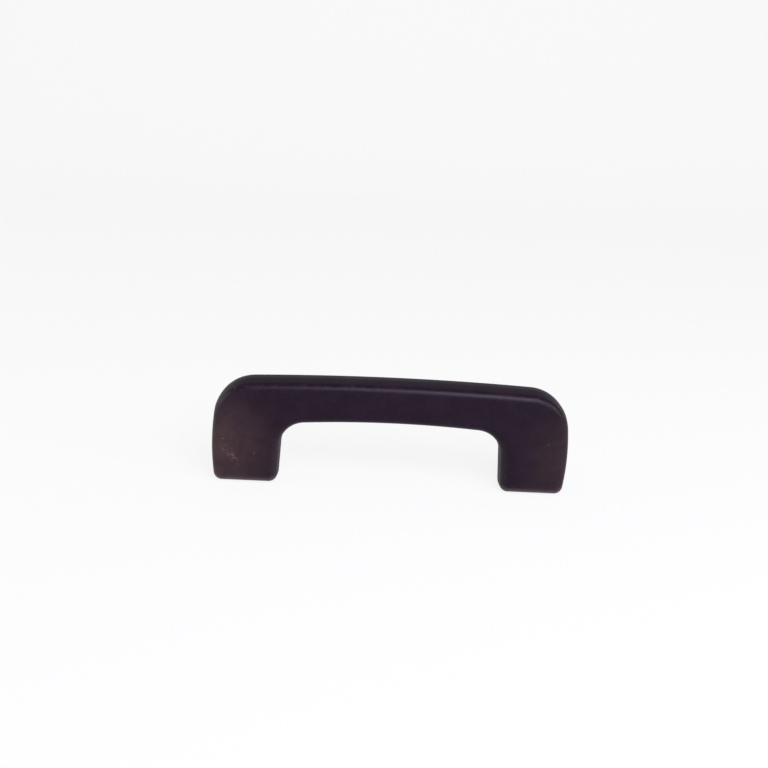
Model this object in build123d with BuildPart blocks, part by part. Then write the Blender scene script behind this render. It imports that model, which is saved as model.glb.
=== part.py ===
"""Roof grab handle for a car: a one-piece soft moulding shaped like a wide, low U, with a threaded metal
insert moulded into the face of each foot. It stands on its two feet, as it is fixed to the roof rail.

Frame: origin midway between the feet, on the plane of their faces. +X along the grip, +Y towards the back
face, +Z from the feet up to the grip. Millimetres and degrees.
"""

import os
from math import radians, sqrt, tan

from build123d import *

# Overall form
SCREW_SPACING = 161.2  # between the two threaded inserts
FOOT_WIDTH = 35.9  # of each leg, measured on the foot's face
HEIGHT = 61.7  # from the foot faces to the crown of the grip
GRIP_HEIGHT = 23.6  # of the bar at its middle
DEPTH = 20.0  # from the front face to the back face

# Outline, seen from the front
CROWN_RADIUS = 1610.0  # of the top of the grip
GAP_CROWN_RADIUS = 658.0  # of the underside of the grip
SHOULDER_RADIUS = 23.3  # where the grip turns down into a leg, outside
GAP_CORNER_RADIUS = 13.9  # where the grip turns down into a leg, inside
FLANK_RADIUS = 148.0  # of the bulged outer side of each leg
FLANK_HEIGHT = 20.8  # of the bulge's widest point above the foot's face
LEG_LEAN = 3.5  # of each leg's inner side, towards the middle as it rises
FOOT_CORNER_RADIUS = 5.3  # of the foot's two corners

# Moulding
EDGE_RADIUS = 4.5  # of the rolled edge round the front and back faces
DRAFT = 2.0  # of each mould half, away from the parting line at mid depth

# Threaded inserts, for M6 screws
THREAD_BORE = 5.0  # across the thread's crests
THREAD_DEPTH = 14.0
THREAD_MOUTH = 0.6  # chamfer at the mouth of the tapped hole
DRILL_POINT_ANGLE = 118.0  # at the bottom of the tapped hole
INSERT_WALL = 2.0  # round the tapped hole
INSERT_END = 1.5  # beyond the drill point
FLANGE_WIDTH = 1.5  # round the buried end, so that the insert can't pull out
FLANGE_THICKNESS = 2.5

os.makedirs("parts", exist_ok=True)

# Places that follow from the sizes above
gap_half_width = (SCREW_SPACING - FOOT_WIDTH) / 2
foot_half_length = (SCREW_SPACING + FOOT_WIDTH) / 2
flank_centre = foot_half_length - sqrt(FLANK_RADIUS**2 - FLANK_HEIGHT**2)
gap_height = HEIGHT - GRIP_HEIGHT
foot_facing = DEPTH / 2 * tan(radians(DRAFT))  # taken off the drafted feet to make them flat
bore_radius = THREAD_BORE / 2
drill_point = bore_radius / tan(radians(DRILL_POINT_ANGLE / 2))
insert_radius = bore_radius + INSERT_WALL
insert_length = THREAD_DEPTH + drill_point + INSERT_END
foot_planes = {
    "left": Plane((-SCREW_SPACING / 2, 0, 0), x_dir=(1, 0, 0), z_dir=(0, -1, 0)),
    "right": Plane((SCREW_SPACING / 2, 0, 0), x_dir=(1, 0, 0), z_dir=(0, -1, 0)),
}


def gap_side(height):
    """Distance from the middle to a leg's inner side, at a height above the foot faces."""
    return gap_half_width - height * tan(radians(LEG_LEAN))


def insert_section(foot_plane):
    """Half section of an insert's outer form, on a plane through the middle of its foot."""
    flange_radius = insert_radius + FLANGE_WIDTH
    flange_start = insert_length - FLANGE_THICKNESS
    with BuildSketch(foot_plane) as section:
        with BuildLine():
            Polyline(
                (0, 0),
                (insert_radius, 0),
                (insert_radius, flange_start),
                (flange_radius, flange_start),
                (flange_radius, insert_length),
                (0, insert_length),
                close=True,
            )
        make_face()
    return section.sketch


# The finger gap: leaning sides under a shallow arch
with BuildSketch(Plane.XZ) as finger_gap:
    with BuildLine():
        Polyline(
            (-gap_side(-foot_facing), -foot_facing),
            (gap_side(-foot_facing), -foot_facing),
            (gap_side(HEIGHT), HEIGHT),
            (-gap_side(HEIGHT), HEIGHT),
            close=True,
        )
    make_face()
    with Locations((0, gap_height - GAP_CROWN_RADIUS)):
        Circle(GAP_CROWN_RADIUS, mode=Mode.INTERSECT)
    fillet(finger_gap.vertices().group_by(Axis.Y)[-1], GAP_CORNER_RADIUS)

# The whole outline at the parting line: a blank trimmed to the crown and to both flanks, less the gap
with BuildSketch(Plane.XZ) as outline:
    with Locations((0, -foot_facing)):
        Rectangle(SCREW_SPACING + 2 * FOOT_WIDTH, HEIGHT + GRIP_HEIGHT, align=(Align.CENTER, Align.MIN))
    with Locations((0, HEIGHT - CROWN_RADIUS)):
        Circle(CROWN_RADIUS, mode=Mode.INTERSECT)
    for side in (-1, 1):
        with Locations((side * flank_centre, FLANK_HEIGHT)):
            Circle(FLANK_RADIUS, mode=Mode.INTERSECT)
    fillet(outline.vertices().group_by(Axis.Y)[-1], SHOULDER_RADIUS)
    add(finger_gap.sketch_local, mode=Mode.SUBTRACT)
    fillet(outline.vertices().group_by(Axis.Y)[0], FOOT_CORNER_RADIUS)

# One soft moulding: drafted both ways from the parting line, its edges rolled, its feet flat, with a socket
# in each foot where it closes round the insert
with BuildPart() as handle_moulding:
    extrude(outline.sketch, amount=DEPTH / 2, both=True, taper=DRAFT)
    for rim in (handle_moulding.edges().group_by(Axis.Y)[0], handle_moulding.edges().group_by(Axis.Y)[-1]):
        fillet(rim, EDGE_RADIUS)
    split(bisect_by=Plane.XY, keep=Keep.TOP)
    for foot_plane in foot_planes.values():
        revolve(insert_section(foot_plane), axis=Axis(foot_plane.origin, (0, 0, 1)), mode=Mode.SUBTRACT)

handle_moulding.part.label = "handle_moulding"
export_step(handle_moulding.part, "parts/handle_moulding.step")

# Threaded inserts: turned from bar with a flange at the buried end, and tapped from the foot's face
for side_name, foot_plane in foot_planes.items():
    insert_axis = Axis(foot_plane.origin, (0, 0, 1))
    with BuildPart() as threaded_insert:
        revolve(insert_section(foot_plane), axis=insert_axis)
        with BuildSketch(foot_plane):
            with BuildLine():
                Polyline(
                    (0, 0),
                    (bore_radius + THREAD_MOUTH, 0),
                    (bore_radius, THREAD_MOUTH),
                    (bore_radius, THREAD_DEPTH),
                    (0, THREAD_DEPTH + drill_point),
                    close=True,
                )
            make_face()
        revolve(axis=insert_axis, mode=Mode.SUBTRACT)

    insert_name = f"threaded_insert_{side_name}"
    threaded_insert.part.label = insert_name
    export_step(threaded_insert.part, f"parts/{insert_name}.step")
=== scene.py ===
from math import atan2, cos, pi, radians, sin, sqrt, tan

import bmesh
import bpy
from mathutils import Matrix, Vector
from mathutils.geometry import intersect_line_sphere_2d, intersect_sphere_sphere_2d
from mathutils.kdtree import KDTree


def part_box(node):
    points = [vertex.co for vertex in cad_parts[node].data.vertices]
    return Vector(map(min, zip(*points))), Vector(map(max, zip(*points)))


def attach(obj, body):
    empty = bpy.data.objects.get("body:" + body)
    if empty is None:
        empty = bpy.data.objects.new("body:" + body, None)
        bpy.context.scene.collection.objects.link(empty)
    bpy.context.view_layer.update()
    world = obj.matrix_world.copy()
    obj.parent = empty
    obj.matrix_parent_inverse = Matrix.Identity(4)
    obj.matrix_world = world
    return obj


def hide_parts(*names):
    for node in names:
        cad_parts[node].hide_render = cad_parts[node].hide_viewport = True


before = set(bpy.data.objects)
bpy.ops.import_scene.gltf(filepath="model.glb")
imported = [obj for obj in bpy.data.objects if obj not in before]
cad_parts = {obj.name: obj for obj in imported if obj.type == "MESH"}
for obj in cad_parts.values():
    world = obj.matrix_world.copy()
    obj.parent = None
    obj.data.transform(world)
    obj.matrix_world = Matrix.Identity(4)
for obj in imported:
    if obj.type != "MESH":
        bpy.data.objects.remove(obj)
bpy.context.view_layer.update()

# Moulding: the grip, both legs and both feet are one piece of soft plastic with a firm satin skin. It is cast
# in a mould of two halves that part at mid depth, so its sides have draft, its edges are rolled and a fine
# seam runs round it. The feet are faced flat, and each has a socket that closes round a steel insert.
_, moulding_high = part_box("handle_moulding")
insert_low, insert_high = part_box("threaded_insert_right")
crown_height, half_depth = moulding_high.z, moulding_high.y
screw_reach = (insert_low.x + insert_high.x) / 2
foot_half_width = 0.01795
gap_height = 0.0381
flank_height = 0.0208
crown_radius, shoulder_radius, flank_radius, toe_radius = 1.610, 0.0233, 0.148, 0.0053
gap_corner_radius, gap_crown_radius = 0.0139, 0.658
leg_lean, draft = radians(3.5), radians(2.0)
edge_roll = 0.0045
seam_height, seam_half_width = 0.00002, 0.00022
wall_crown, face_crown, face_crown_reach = 0.0003, 0.0003, 0.008
barrel_radius, flange_thickness = 0.0045, 0.0025
wall_steps, roll_steps, face_cuts, round_steps = 6, 18, 15, 72

# Centres of the outline's bends, right of the middle, seen from the front as (x, z)
foot_facing = half_depth * tan(draft)
toe_height = toe_radius - foot_facing
gap_half_width = screw_reach - foot_half_width
across_leg, along_leg = Vector((cos(leg_lean), sin(leg_lean))), Vector((-sin(leg_lean), cos(leg_lean)))
crown_centre = Vector((0, crown_height - crown_radius))
flank_centre = Vector((screw_reach + foot_half_width - sqrt(flank_radius**2 - flank_height**2), flank_height))
shoulder_centre = max(
    intersect_sphere_sphere_2d(
        crown_centre, crown_radius - shoulder_radius, flank_centre, flank_radius - shoulder_radius
    ),
    key=lambda point: point.x,
)
outer_toe = Vector(
    (flank_centre.x + sqrt((flank_radius - toe_radius) ** 2 - (toe_height - flank_height) ** 2), toe_height)
)
inner_toe = Vector((gap_half_width + (toe_radius - toe_height * sin(leg_lean)) / cos(leg_lean), toe_height))
gap_crown_centre = Vector((0, gap_height - gap_crown_radius))
corner_line = Vector((gap_half_width, 0)) - gap_corner_radius * across_leg
gap_corner = max(
    intersect_line_sphere_2d(
        corner_line, corner_line + along_leg, gap_crown_centre, gap_crown_radius - gap_corner_radius, False
    ),
    key=lambda point: point.y,
)


def bearing(start, end):
    """Direction from one point to another, clockwise from straight up, seen from the front."""
    return atan2(end.x - start.x, end.y - start.y) % (2 * pi)


# Each bend: its centre, its radius, less than nothing where it hollows, the way that the skin faces where it
# starts and where it ends, its steps, and the steps of the straight run before it. Across the bar and the
# leg, the outer and the inner side have equal numbers of steps, so that the front face can span them.
to_shoulder, to_flank = bearing(crown_centre, shoulder_centre), bearing(flank_centre, shoulder_centre)
to_toe, to_leg = bearing(flank_centre, outer_toe), 1.5 * pi - leg_lean
to_gap_crown = bearing(gap_corner, gap_crown_centre)
bends = (
    (crown_centre, crown_radius, 0, to_shoulder, 26, 0),
    (shoulder_centre, shoulder_radius, to_shoulder, to_flank, 44, 0),
    (flank_centre, flank_radius, to_flank, to_toe, 18, 0),
    (outer_toe, toe_radius, to_toe, pi, 20, 0),
    (inner_toe, toe_radius, pi, to_leg, 20, 16),
    (gap_corner, -gap_corner_radius, to_leg, to_gap_crown, 44, 18),
    (gap_crown_centre, -gap_crown_radius, to_gap_crown, pi, 26, 0),
)
outer_numbers, inner_numbers = (0, 1, 2, 3), (4, -5, 5, 6)  # of bends, and of a run where less than nothing

# Half of the mould's section, from the seam out to the front face: inset from the outline, depth, and how far
# round the rolled edge it is. The walls and the face crown a little, so they run into the rolled edge softly.
wall_past_roll = 0.16  # share of the edge's roll by which the wall reaches past the roll's centre
face_slope = atan2(2 * face_crown, face_crown_reach)
roll_depth = half_depth - face_crown - edge_roll * cos(face_slope)
roll_start = draft + 2 * wall_crown / (roll_depth + wall_past_roll * edge_roll)
wall_depth = roll_depth + edge_roll * sin(roll_start)
section = [(-seam_height, 0, 0), (-0.6 * seam_height, 0.4 * seam_half_width, 0)]
for depth in (seam_half_width, *(wall_depth * step / wall_steps for step in range(1, wall_steps))):
    section.append((depth * tan(draft) + wall_crown * (depth / wall_depth) ** 2, depth, 0))
roll_inset = wall_depth * tan(draft) + wall_crown + edge_roll * cos(roll_start)
for step in range(roll_steps + 1):
    turn = roll_start + (pi / 2 - face_slope - roll_start) * step / roll_steps
    section.append((roll_inset - edge_roll * cos(turn), roll_depth + edge_roll * sin(turn), sin(2 * turn)))

# The outline's right half is swept bend by bend along the seam
skin = bmesh.new()
bend_number = skin.verts.layers.int.new("bend")
roll_amount = skin.verts.layers.float.new("rolled_edge")
tip = skin.verts.new((0, 0, crown_height + seam_height))
for number, (centre, radius, start, end, steps, run_steps) in enumerate(bends):
    pivot = Vector((centre.x, 0, centre.y))
    run_end = pivot + (radius + seam_height) * Vector((sin(start), 0, cos(start)))
    run_step = (run_end - tip.co) / max(run_steps, 1)
    for _ in range(run_steps):
        last_place = tip.co.copy()
        tip = bmesh.ops.extrude_vert_indiv(skin, verts=[tip])["verts"][0]
        tip.co = last_place + run_step
        tip[bend_number] = -number
    made = len(skin.verts) - min(run_steps, 1)
    swept = bmesh.ops.spin(skin, geom=[tip], cent=pivot, axis=(0, 1, 0), angle=end - start, steps=steps)
    tip = next(item for item in swept["geom_last"] if isinstance(item, bmesh.types.BMVert))
    skin.verts.ensure_lookup_table()
    for vert in skin.verts[made:]:
        vert[bend_number] = number


def grow(work, edges):
    """Extrudes a chain of edges where it lies, and gives the new vertices and the new chain."""
    grown = bmesh.ops.extrude_edge_only(work, edges=edges)["geom"]
    new_verts = [item for item in grown if isinstance(item, bmesh.types.BMVert)]
    new_edges = [item for item in grown if isinstance(item, bmesh.types.BMEdge)]
    at_the_end = set(new_verts)
    return new_verts, [edge for edge in new_edges if at_the_end.issuperset(edge.verts)]


# It grows ring by ring from the seam to the front face: bends shrink or widen, straight runs move sideways
ring = skin.edges[:]
for (last_inset, last_depth, _), (inset, depth, rolled) in zip(section, section[1:]):
    verts, ring = grow(skin, ring)
    bmesh.ops.translate(skin, verts=verts, vec=(0, last_depth - depth, 0))
    for number, (centre, radius, facing, *_) in enumerate(bends):
        share = (radius - inset) / (radius - last_inset)
        bmesh.ops.scale(
            skin,
            verts=[vert for vert in verts if vert[bend_number] == number],
            vec=(share, 1, share),
            space=Matrix.Translation((-centre.x, 0, -centre.y)),
        )
        bmesh.ops.translate(
            skin,
            verts=[vert for vert in verts if number and vert[bend_number] == -number],
            vec=(last_inset - inset) * Vector((sin(facing), 0, cos(facing))),
        )
    for vert in verts:
        vert[roll_amount] = rolled

# The front face spans the ring from its outer side to the side along the finger gap, and crowns
outer, inner = (
    [edge for edge in ring if all(vert[bend_number] in numbers for vert in edge.verts)]
    for numbers in (outer_numbers, inner_numbers)
)
rim_height = min(vert.co.z for edge in inner for vert in edge.verts)
sides = []
for chain in (outer, inner):
    rim = list(dict.fromkeys(vert for edge in chain for vert in edge.verts))
    side = KDTree(len(rim))
    for index, vert in enumerate(rim):
        side.insert(vert.co, index)
    side.balance()
    sides.append(side)
spans = bmesh.ops.bridge_loops(skin, edges=outer + inner)["edges"]
cut = bmesh.ops.subdivide_edges(skin, edges=spans, cuts=face_cuts, use_grid_fill=True)["geom_inner"]
for vert in cut:
    if isinstance(vert, bmesh.types.BMVert):
        share = 1 - max(1 - (vert.co.z - rim_height) / face_crown_reach, 0) ** 2
        for side in sides:
            share *= 1 - max(1 - side.find(vert.co)[2] / face_crown_reach, 0) ** 2
        vert.co.y -= face_crown * share
bmesh.ops.remove_doubles(skin, verts=skin.verts[:], dist=1e-6)


def whole(work):
    """All that a mesh is made of."""
    return work.verts[:] + work.edges[:] + work.faces[:]


for axis in ("X", "Y"):
    bmesh.ops.mirror(skin, geom=whole(skin), merge_dist=1e-6, axis=axis)
bmesh.ops.bisect_plane(
    skin, geom=whole(skin), dist=1e-7, plane_co=(0, 0, 0), plane_no=(0, 0, 1), clear_inner=True
)


def new_ring(work, radius, place):
    """A flat ring of loose edges round an upright axis."""
    verts = bmesh.ops.create_circle(
        work, radius=radius, segments=round_steps, matrix=Matrix.Translation(place)
    )["verts"]
    return list(dict.fromkeys(edge for vert in verts for edge in vert.link_edges))


# The feet: flat round the socket, which steps out at its end to take the insert's flange
socket_depth = insert_high.z
flange_radius = insert_high.x - screw_reach
for side in (-1, 1):
    foot_centre = (side * screw_reach, 0, 0)
    rim = [edge for edge in skin.edges if edge.is_boundary and edge.verts[0].co.x * side > 0]
    ring = new_ring(skin, barrel_radius, foot_centre)
    bmesh.ops.triangle_fill(skin, edges=rim + ring, use_beauty=True)
    for edge in rim:
        edge.smooth = False
    for wider, rise in (
        (1, socket_depth - flange_thickness),
        (flange_radius / barrel_radius, 0),
        (1, flange_thickness),
    ):
        verts, ring = grow(skin, ring)
        about_axis = Matrix.Translation(foot_centre).inverted()
        bmesh.ops.scale(skin, verts=verts, vec=(wider, wider, 1), space=about_axis)
        bmesh.ops.translate(skin, verts=verts, vec=(0, 0, rise))
    bmesh.ops.contextual_create(skin, geom=ring)
skin.verts.layers.int.remove(bend_number)


def finished_piece(name, work, crease):
    """A smooth-shaded object at the origin, with its normals put right and its sharp edges kept."""
    bmesh.ops.recalc_face_normals(work, faces=work.faces[:])
    for face in work.faces:
        face.smooth = True
    for edge in work.edges:
        edge.smooth = edge.smooth and edge.calc_face_angle(0) < crease
    mesh = bpy.data.meshes.new(name)
    work.to_mesh(mesh)
    work.free()
    piece = bpy.data.objects.new(name, mesh)
    bpy.context.collection.objects.link(piece)
    return piece


moulding = finished_piece("moulded_handle", skin, crease=radians(32))


def shade(tree, kind, inputs=(), **settings):
    """Adds a shader node, with its inputs as values or as sockets to link, and its own settings."""
    node = tree.nodes.new(kind)
    for name, value in settings.items():
        setattr(node, name, value)
    for socket, value in dict(inputs).items():
        if isinstance(value, bpy.types.NodeSocket):
            tree.links.new(value, node.inputs[socket])
        else:
            node.inputs[socket].default_value = value
    return node


def blend_tone(tree, share, first, second):
    """A colour between two others."""
    return shade(tree, "ShaderNodeMix", {0: share, 6: first, 7: second}, data_type="RGBA").outputs[2]


def ramp(tree, value, low, high, floor=0.0, top=1.0):
    """Rises smoothly from floor to top as a value goes from low to high."""
    return shade(
        tree,
        "ShaderNodeMapRange",
        {"Value": value, "From Min": low, "From Max": high, "To Min": floor, "To Max": top},
        interpolation_type="SMOOTHSTEP",
    ).outputs[0]


def work_out(tree, operation, first, second=0.0):
    """A sum, a product or the like of two values."""
    return shade(tree, "ShaderNodeMath", {0: first, 1: second}, operation=operation).outputs[0]


def grain(tree, place, scale, detail, roughness=0.55):
    """Noise with so many features in a metre."""
    inputs = {"Vector": place, "Scale": scale, "Detail": detail, "Roughness": roughness}
    return shade(tree, "ShaderNodeTexNoise", inputs).outputs[0]


def patch(tree, place, centre, sizes, core, floor=0.0, top=1.0, lean=0.0):
    """A soft ellipse on the skin, leaning as seen from the front: floor outside it, and top in its core."""
    local = shade(
        tree,
        "ShaderNodeMapping",
        {"Vector": place, "Location": centre, "Rotation": (0, lean, 0), "Scale": sizes},
        vector_type="TEXTURE",
    )
    away = shade(tree, "ShaderNodeVectorMath", {0: local.outputs[0]}, operation="LENGTH").outputs["Value"]
    return ramp(tree, away, 1.0, core, floor, top)


skin_finish = bpy.data.materials.new("satin_moulded_skin")
skin_finish.use_nodes = True
tree = skin_finish.node_tree
surface = tree.nodes["Principled BSDF"]
place = shade(tree, "ShaderNodeTexCoord").outputs["Object"]
mottle = grain(tree, place, 85.0, 6.0, 0.62)
pore = grain(tree, place, 900.0, 3.0)
dark_tone, light_tone = (0.0055, 0.0012, 0.0061, 1), (0.0096, 0.0026, 0.0101, 1)
tone = blend_tone(tree, ramp(tree, mottle, 0.32, 0.68), dark_tone, light_tone)
tone = blend_tone(tree, ramp(tree, pore, 0.5, 0.78, 0.0, 0.5), tone, (0.0170, 0.0080, 0.0170, 1))

# Painted warm light: a brown glow painted on the legs, more on the left one, standing in for warm light
# falling on them
left_painted_glow = patch(tree, place, (-0.104, -0.010, 0.020), (0.052, 0.040, 0.048), 0.1)
right_painted_glow = patch(tree, place, (0.106, -0.010, 0.020), (0.042, 0.040, 0.046), 0.15, top=0.43)
painted_leg_glow = work_out(tree, "MAXIMUM", left_painted_glow, right_painted_glow)
painted_leg_glow = work_out(tree, "MULTIPLY", painted_leg_glow, ramp(tree, grain(tree, place, 160.0, 5.0), 0.25, 0.7, 0.6, 1.0))
# The painted warm light on the legs goes into the skin's colour here
tone = blend_tone(tree, painted_leg_glow, tone, (0.0430, 0.0240, 0.0250, 1))

# Scuffs: a broken tan streak low on the left leg, a small rub above it, and a speck on each leg
streak = patch(tree, place, (-0.0892, -0.010, 0.0178), (0.0105, 0.003, 0.0030), 0.3, lean=radians(56))
rub = patch(tree, place, (-0.0932, -0.010, 0.0262), (0.0022, 0.003, 0.0011), 0.2, lean=radians(20))
scuff = work_out(tree, "MAXIMUM", streak, rub)
scuff = work_out(tree, "MULTIPLY", scuff, ramp(tree, grain(tree, place, 430.0, 5.0, 0.7), 0.44, 0.68))
left_speck = patch(tree, place, (-0.0756, -0.010, 0.0186), (0.0009, 0.002, 0.0016), 0.3, top=0.2)
right_speck = patch(tree, place, (0.0878, -0.010, 0.0315), (0.0009, 0.002, 0.0009), 0.3, top=0.25)
scuff = work_out(tree, "MAXIMUM", scuff, work_out(tree, "MAXIMUM", left_speck, right_speck))
tone = blend_tone(tree, work_out(tree, "MULTIPLY", scuff, 0.8), tone, (0.130, 0.088, 0.074, 1))

# Rubbed edges and painted highlight: the rolled edges are a little paler in spots, most of all round the left
# shoulder, where the paler lilac tone is also a painted sheen of the light on the edge
rolled = shade(tree, "ShaderNodeAttribute", attribute_name="rolled_edge").outputs["Fac"]
shoulder_rub_and_sheen = patch(tree, place, (-0.094, 0.0, 0.050), (0.022, 0.030, 0.024), 0.2, floor=0.25)
rub_and_sheen = work_out(tree, "MULTIPLY", rolled, shoulder_rub_and_sheen)
rub_and_sheen = work_out(tree, "MULTIPLY", rub_and_sheen, ramp(tree, grain(tree, place, 420.0, 5.0, 0.7), 0.5, 0.72))
# The rubbed spots and the painted highlight go into the skin's colour here
tone = blend_tone(tree, work_out(tree, "MULTIPLY", rub_and_sheen, 0.5), tone, (0.075, 0.058, 0.068, 1))

# Painted reflection: paler where the rolled edge runs round the feet, and faintly up the inner side of each
# leg, standing in for the pale floor's reflection in those edges
either_leg = shade(tree, "ShaderNodeVectorMath", {0: place}, operation="ABSOLUTE").outputs[0]
above_foot = shade(tree, "ShaderNodeSeparateXYZ", {0: place}).outputs["Z"]
leg_edge_glow = patch(tree, either_leg, (0.0620, 0.010, 0.010), (0.008, 0.030, 0.028), 0.4, top=0.12)
painted_floor_glow = work_out(tree, "MAXIMUM", leg_edge_glow, ramp(tree, above_foot, 0.0070, 0.0010))
painted_floor_glow = work_out(tree, "MULTIPLY", rolled, painted_floor_glow)
painted_floor_glow = work_out(tree, "MULTIPLY", painted_floor_glow, ramp(tree, pore, 0.3, 0.7, 0.6, 1.0))
# The painted floor reflection goes into the skin's colour here
tone = blend_tone(tree, work_out(tree, "MULTIPLY", painted_floor_glow, 0.75), tone, (0.105, 0.088, 0.102, 1))
tree.links.new(tone, surface.inputs["Base Color"])

# Satin, less so where it is scuffed, with fine moulded grain on a skin that isn't quite even
rough = ramp(tree, mottle, 0.3, 0.7, 0.50, 0.56)
rough = work_out(tree, "SUBTRACT", rough, work_out(tree, "MULTIPLY", rolled, 0.16))
rough = work_out(tree, "ADD", rough, work_out(tree, "MULTIPLY", scuff, 0.2))
tree.links.new(rough, surface.inputs["Roughness"])
surface.inputs["Specular IOR Level"].default_value = 0.14
cells = shade(
    tree, "ShaderNodeTexVoronoi", {"Vector": place, "Scale": 1150.0, "Randomness": 1.0}, feature="SMOOTH_F1"
)
relief = shade(
    tree, "ShaderNodeBump", {"Height": grain(tree, place, 42.0, 2.0), "Strength": 0.3, "Distance": 0.0008}
)
for height, strength, distance in ((cells.outputs["Distance"], 0.25, 0.00012), (scuff, 0.4, 0.00008)):
    relief = shade(
        tree,
        "ShaderNodeBump",
        {"Height": height, "Normal": relief.outputs[0], "Strength": strength, "Distance": distance},
    )
tree.links.new(relief.outputs[0], surface.inputs["Normal"])
moulding.data.materials.append(skin_finish)
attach(moulding, "root")
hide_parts("handle_moulding")

# Threaded inserts: one steel bush in each foot, turned with a flange at its buried end and cast in when the
# handle is moulded. Each is drilled, tapped M6 and countersunk from the foot's face.
pitch, crest_radius, root_radius = 0.001, 0.0025, 0.0030
thread_start, thread_end, drill_tip = 0.0006, 0.0140, 0.015502
turns = 15
crest_share, flank_share = 0.25, (root_radius - crest_radius) * tan(radians(30)) / pitch
mouth_radius, edge_break, drill_lip = crest_radius + thread_start, 0.00012, 0.0001
bush = bmesh.new()
tooth = [bush.verts.new((crest_radius, 0, -0.5 * pitch))]
for radius, share in (
    (crest_radius, crest_share),
    (root_radius, crest_share + flank_share),
    (root_radius, 1 - flank_share),
    (crest_radius, 1),
):
    tooth.append(bmesh.ops.extrude_vert_indiv(bush, verts=[tooth[-1]])["verts"][0])
    tooth[-1].co = (radius, 0, (share - 0.5) * pitch)
bmesh.ops.spin(
    bush,
    geom=bush.verts[:] + bush.edges[:],
    cent=(0, 0, 0),
    axis=(0, 0, 1),
    dvec=(0, 0, pitch / round_steps),
    angle=2 * pi * turns,
    steps=turns * round_steps,
)
bmesh.ops.remove_doubles(bush, verts=bush.verts[:], dist=2e-6)
for height, below, above in ((thread_start, True, False), (thread_end, False, True)):
    bmesh.ops.bisect_plane(
        bush,
        geom=whole(bush),
        dist=1e-8,
        plane_co=(0, 0, height),
        plane_no=(0, 0, 1),
        clear_inner=below,
        clear_outer=above,
    )


def open_ring(work, height):
    """The open edges of a mesh at a height."""
    return [
        edge
        for edge in work.edges
        if edge.is_boundary and all(abs(vert.co.z - height) < 1e-6 for vert in edge.verts)
    ]


# The countersunk mouth, the drill point, and then the outside from the mouth to the flange
mouth = new_ring(bush, mouth_radius, (0, 0, 0))
bmesh.ops.bridge_loops(bush, edges=open_ring(bush, thread_start) + mouth)
point_start = thread_end + drill_lip
point_radius = crest_radius * (drill_tip - point_start) / (drill_tip - thread_end)
drill_ring = new_ring(bush, point_radius, (0, 0, point_start))
bmesh.ops.bridge_loops(bush, edges=open_ring(bush, thread_end) + drill_ring)
point = bmesh.ops.contextual_create(bush, geom=drill_ring)["faces"]
point = bmesh.ops.poke(bush, faces=point)["verts"]
bmesh.ops.translate(bush, verts=point, vec=(0, 0, drill_tip - point_start))
ring, last_radius, last_height = mouth, mouth_radius, 0
for radius, height in (
    (barrel_radius - edge_break, 0),
    (barrel_radius, edge_break),
    (barrel_radius, socket_depth - flange_thickness),
    (flange_radius, socket_depth - flange_thickness),
    (flange_radius, socket_depth),
):
    verts, ring = grow(bush, ring)
    bmesh.ops.scale(bush, verts=verts, vec=(radius / last_radius, radius / last_radius, 1))
    bmesh.ops.translate(bush, verts=verts, vec=(0, 0, height - last_height))
    last_radius, last_height = radius, height
bmesh.ops.contextual_create(bush, geom=ring)

# Bright steel, a little stained, with the lathe's lines round each bush's axis
bush_steel = bpy.data.materials.new("turned_bush_steel")
bush_steel.use_nodes = True
tree = bush_steel.node_tree
surface = tree.nodes["Principled BSDF"]
place = shade(tree, "ShaderNodeTexCoord").outputs["Object"]
across, deep, _ = shade(tree, "ShaderNodeSeparateXYZ", {0: place}).outputs
beside = work_out(tree, "SUBTRACT", work_out(tree, "ABSOLUTE", across), screw_reach)
from_axis = shade(tree, "ShaderNodeCombineXYZ", {0: beside, 1: deep}).outputs[0]
from_axis = shade(tree, "ShaderNodeVectorMath", {0: from_axis}, operation="LENGTH").outputs["Value"]
tool_lines = shade(
    tree, "ShaderNodeTexNoise", {"W": from_axis, "Scale": 9000.0, "Detail": 2.0}, noise_dimensions="1D"
).outputs[0]
stain = grain(tree, place, 520.0, 4.0)
bright_steel, stained_steel = (0.56, 0.55, 0.52, 1), (0.40, 0.38, 0.35, 1)
tone = blend_tone(tree, ramp(tree, stain, 0.35, 0.75), bright_steel, stained_steel)
tree.links.new(tone, surface.inputs["Base Color"])
tree.links.new(ramp(tree, stain, 0.3, 0.75, 0.28, 0.44), surface.inputs["Roughness"])
surface.inputs["Metallic"].default_value = 1.0
turned = shade(tree, "ShaderNodeBump", {"Height": tool_lines, "Strength": 0.25, "Distance": 0.00004})
tree.links.new(turned.outputs[0], surface.inputs["Normal"])

for side, side_name in ((-1, "left"), (1, "right")):
    work = bush.copy()
    bmesh.ops.translate(work, verts=work.verts[:], vec=(side * screw_reach, 0, 0))
    insert = finished_piece(f"tapped_bush_{side_name}", work, crease=radians(25))
    insert.data.materials.append(bush_steel)
    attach(insert, "root")
    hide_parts(f"threaded_insert_{side_name}")
bush.free()

# Floor and backdrop: one plain pale sweep, flat under the handle and curving up behind it.
floor_reach, bend_start, bend_radius, rise = 6, 0.75, 0.25, 0.03
sweep_work = bmesh.new()
front_corners = [sweep_work.verts.new((x, -floor_reach, 0)) for x in (-floor_reach, floor_reach)]
verts, line = grow(sweep_work, [sweep_work.edges.new(front_corners)])
bmesh.ops.translate(sweep_work, verts=verts, vec=(0, floor_reach + bend_start, 0))
swept = bmesh.ops.spin(
    sweep_work, geom=line, cent=(0, bend_start, bend_radius), axis=(1, 0, 0), angle=pi / 2, steps=24
)["geom_last"]
verts, _ = grow(sweep_work, [item for item in swept if isinstance(item, bmesh.types.BMEdge)])
bmesh.ops.translate(sweep_work, verts=verts, vec=(0, 0, rise))
sweep = finished_piece("pale_sweep", sweep_work, crease=radians(40))

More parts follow.
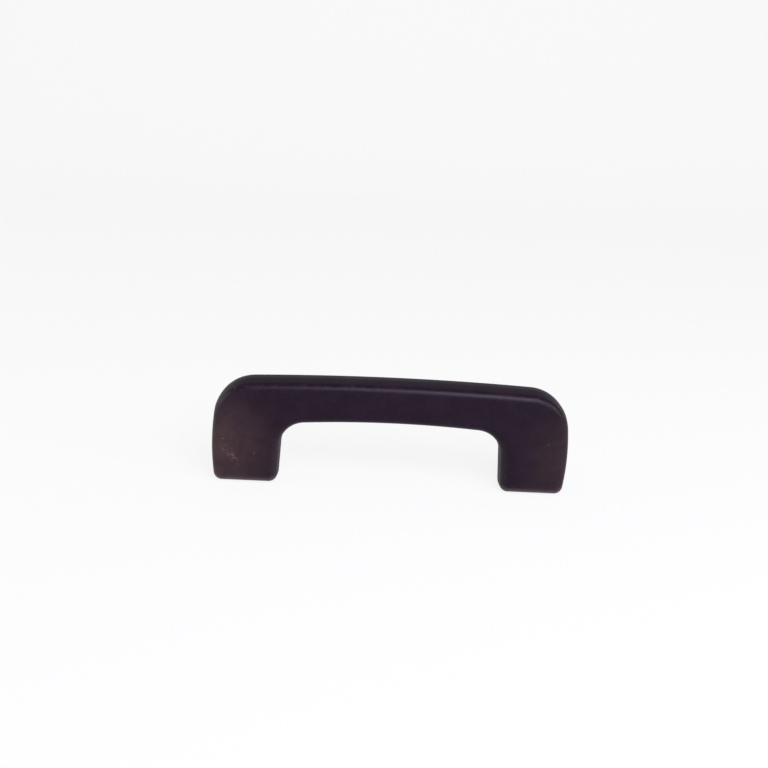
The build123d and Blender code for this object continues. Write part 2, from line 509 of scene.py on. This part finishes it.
# It is near white to the camera, also in a reflection or through glass, and plain paper to other light
paper = bpy.data.materials.new("pale_paper")
paper.use_nodes = True
tree = paper.node_tree
surface = tree.nodes["Principled BSDF"]
surface.inputs["Base Color"].default_value = (0.70, 0.70, 0.70, 1)
surface.inputs["Roughness"].default_value = 0.9
surface.inputs["Specular IOR Level"].default_value = 0.1
path = shade(tree, "ShaderNodeLightPath").outputs
mirrored = work_out(tree, "MAXIMUM", path["Is Glossy Ray"], path["Is Transmission Ray"])
seen_directly = work_out(tree, "MAXIMUM", path["Is Camera Ray"], mirrored)
white_share = work_out(tree, "MULTIPLY", seen_directly, 0.86)
white = shade(tree, "ShaderNodeEmission", {"Color": (0.98, 0.98, 0.98, 1), "Strength": 1.0}).outputs[0]
paper_mix = shade(tree, "ShaderNodeMixShader", {0: white_share, 1: surface.outputs[0], 2: white})
tree.links.new(paper_mix.outputs[0], tree.nodes["Material Output"].inputs["Surface"])
sweep.data.materials.append(paper)


# Light: a large soft lamp above the front, a small one towards each end, and an even surround.
def soft_lamp(name, place, aim, width, height, power, colour):
    """A rectangular area lamp turned towards a point."""
    lamp = bpy.data.lights.new(name, "AREA")
    lamp.shape, lamp.size, lamp.size_y = "RECTANGLE", width, height
    lamp.energy, lamp.color = power, colour
    holder = bpy.data.objects.new(name, lamp)
    holder.location = place
    holder.rotation_euler = (Vector(aim) - Vector(place)).to_track_quat("-Z", "Y").to_euler()
    holder.visible_camera = False
    bpy.context.collection.objects.link(holder)


soft_lamp("key_lamp", (0.27, -0.77, 0.76), (0, 0, 0.03), 0.66, 0.76, 15.0, (0.87, 0.85, 1.0))
soft_lamp("right_lamp", (0.82, -0.42, 0.45), (0.05, 0, 0.04), 0.4, 0.4, 3.5, (0.93, 0.92, 1.0))
soft_lamp("left_lamp", (-0.95, -0.05, 0.30), (-0.05, 0, 0.04), 0.5, 0.4, 2.5, (1.0, 0.95, 0.93))
surround = bpy.data.worlds.new("even_surround")
surround.use_nodes = True
background = surround.node_tree.nodes["Background"]
background.inputs["Color"].default_value = (1, 1, 1, 1)
background.inputs["Strength"].default_value = 0.5
bpy.context.scene.world = surround

# Camera: a little above the handle and nearly square to its front, turned slightly anticlockwise.
camera = bpy.data.objects.new("camera", bpy.data.cameras.new("camera"))
camera.data.sensor_width, camera.data.lens = 36.0, 53.906
camera.data.clip_start, camera.data.clip_end = 0.01, 50.0
camera.location = (-0.017287, -0.594849, 0.283671)
camera.rotation_euler = (radians(69.3249), radians(-2.8165), radians(-0.1037))
bpy.context.collection.objects.link(camera)
bpy.context.scene.camera = camera
bpy.context.scene.view_settings.view_transform = "Standard"
